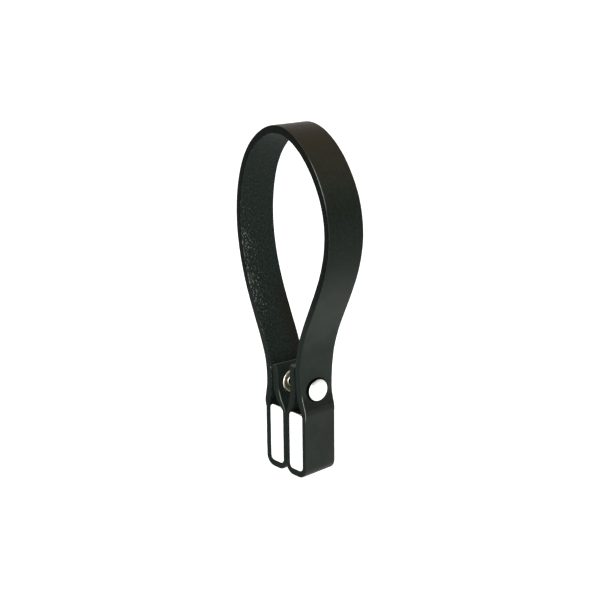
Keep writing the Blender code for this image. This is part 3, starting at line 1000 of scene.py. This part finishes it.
def tarnish_and_shaded_mouth(n, tone, roughness):
    """Tarnish in an eyelet's hollow, and painted shade in its mouth."""
    hollow = n.window(n.radius, *EYELET_HOLLOW)
    tone = n.mix(hollow, tone, TARNISH)
    # Painted shade inside the eyelet's mouth.
    tone = n.mix(n.fade(n.radius, *EYELET_MOUTH), tone, METAL_SHADE)
    return tone, n.blend(hollow, roughness, TARNISH_ROUGHNESS)


# ---------------------------------------------------------------- the pieces

def make_side(side, sign, leather, nickel, eyelet_nickel, bar_nickel, brass):
    """Makes one side's pieces. Returns the strap, whose replaced nodes the caller names."""
    which = 0 if sign < 0 else -1
    leg, tongue = f"{side}_leg", f"{side}_tongue_body"
    tip, seam = CURVE.along[which], CURVE.crossing(SEAM_Z, which)

    wall = leather_piece(f"{side}_strap", *sorted((seam, 0.0)))
    cut_end = "start" if sign < 0 else "end"
    flap = leather_piece(f"{side}_tongue_leather", *sorted((tip, seam)), tip=cut_end)
    at_stud = np.array([CURVE.crossing(STUD_Z, i) for i in (LEG_CROSSING[side], which)])
    leg_x, tongue_x = CURVE.at(CURVE.line, at_stud)[:, 0]
    on_leg, on_tongue = facing(side, sign, leg_x), facing(side, sign, tongue_x)
    punch(wall, LEG_CUT_PROFILE, on_leg)
    punch(flap, TONGUE_CUT_PROFILE, on_tongue)
    for obj in (wall, flap):
        wear(obj, "leather", *leather)
    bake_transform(wall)
    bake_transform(flap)
    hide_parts(f"{side}_tongue")

    cap = turned(f"{side}_cap", CAP_PROFILE, on_leg, CAP_ROUNDING)
    socket = turned(f"{side}_socket", SOCKET_PROFILE, on_leg, STUD_ROUNDING)
    stud = turned(f"{side}_stud", STUD_PROFILE, on_tongue, STUD_ROUNDING)
    eyelet = turned(f"{side}_eyelet", EYELET_PROFILE, on_tongue, EYELET_ROUNDING)
    wire = ring_spring(f"{side}_wire_ring", on_leg)
    block = bar(f"{side}_plated_bar", sign)
    metal = (
        ("snap_cap", cap, leg, nickel, "stud_nickel"),
        ("snap_socket", socket, leg, nickel, "stud_nickel"),
        ("snap_stud", stud, tongue, nickel, "stud_nickel"),
        ("snap_eyelet", eyelet, tongue, eyelet_nickel, "stud_nickel"),
        ("ring_spring", wire, leg, brass, "spring_brass"),
        ("bar", block, f"{side}_bar_body", bar_nickel, "bar_nickel"),
    )
    for node, obj, body, material, slot in metal:
        wear(obj, slot, material)
        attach(obj, body)
        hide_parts(f"{side}_{node}")
    return wall


def wear(obj, slot, *materials):
    """Gives a piece its materials, keeping which face has which."""
    kinds = [face.material_index for face in obj.data.polygons]
    obj.data.materials.clear()
    for material in materials:
        obj.data.materials.append(material)
    obj.data.polygons.foreach_set("material_index", kinds)


def make_object():
    metals = (
        spun_material("plated_stud", STUD_NICKEL, 0.07, shaded_cap_rim),
        spun_material("plated_eyelet", EYELET_NICKEL, 0.27, tarnish_and_shaded_mouth),
        drawn_material("plated_bar", BAR_NICKEL, 0.12),
        drawn_material("spring_wire", SPRING_BRASS, 0.22),
    )
    leather = (grain_material(), flesh_material(), edge_material())
    left = make_side("left", -1, leather, *metals)
    right = make_side("right", 1, leather, *metals)
    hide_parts("left_strap_leg", "strap_crown")
    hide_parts("right_strap_leg")


# ---------------------------------------------------------------- studio

def floor():
    """A plain white floor, slightly self-lit so that it stays white."""
    bm = bmesh.new()
    bmesh.ops.create_circle(bm, cap_ends=True, segments=96, radius=FLOOR_RADIUS)
    obj = finished("studio_floor", bm, Matrix.Translation((0, 0, -FLOOR_DROP)))
    n = Nodes("floor_white")
    obj.data.materials.append(
        n.finish(
            Base_Color=(0.62, 0.62, 0.62, 1), Roughness=0.9, Specular_IOR_Level=0.0,
            Emission_Color=(1.0, 1.0, 1.0, 1), Emission_Strength=0.85,
        )
    )


def softbox(name, place, aim, width, height, power):
    light = bpy.data.lights.new(name, "AREA")
    light.shape = "RECTANGLE"
    light.size, light.size_y = width, height
    light.energy = power
    obj = bpy.data.objects.new(name, light)
    obj.location = place
    obj.rotation_mode = "QUATERNION"
    obj.rotation_quaternion = (Vector(aim) - Vector(place)).to_track_quat("-Z", "Y")
    bpy.context.scene.collection.objects.link(obj)


def studio():
    """A white room, less bright overhead, with a soft light above and a strip of light in front."""
    world = bpy.data.worlds.new("white_room")
    world.use_nodes = True
    tree = world.node_tree
    split = tree.nodes.new("ShaderNodeSeparateXYZ")
    fade = tree.nodes.new("ShaderNodeMapRange")
    tree.links.new(tree.nodes.new("ShaderNodeTexCoord").outputs["Generated"], split.inputs[0])
    tree.links.new(split.outputs["Z"], fade.inputs["Value"])
    for key, value in SKY_FADE.items():
        fade.inputs[key].default_value = value
    background = tree.nodes["Background"]
    background.inputs["Color"].default_value = (1.0, 1.0, 1.0, 1.0)
    tree.links.new(fade.outputs["Result"], background.inputs["Strength"])
    bpy.context.scene.world = world
    bpy.context.scene.view_settings.view_transform = "Standard"
    floor()
    softbox("overhead", (0.05, 0.0, 0.75), (0.05, 0.0, 0.0), 0.4, 0.4, 1.1)
    softbox("strip", (0.34, -0.56, 0.30), (0.0, 0.0, 0.09), 0.12, 0.6, 4.0)


def camera():
    a, e, r = (math.radians(v) for v in (CAMERA_AZIMUTH, CAMERA_ELEVATION, CAMERA_ROLL))
    right = Vector((math.cos(a), math.sin(a), 0.0))
    back = Vector((math.sin(a) * math.cos(e), -math.cos(a) * math.cos(e), math.sin(e)))
    up = back.cross(right)
    across = right * math.cos(r) + up * math.sin(r)
    upward = up * math.cos(r) - right * math.sin(r)
    data = bpy.data.cameras.new("camera")
    data.lens, data.sensor_width = CAMERA_LENS, 36.0
    data.clip_start, data.clip_end = 0.01, 100.0
    obj = bpy.data.objects.new("camera", data)
    turn = Matrix((across, upward, back)).transposed()
    obj.matrix_world = Matrix.Translation(CAMERA_PLACE) @ turn.to_4x4()
    bpy.context.scene.collection.objects.link(obj)
    bpy.context.scene.camera = obj


camera()
studio()
make_object()
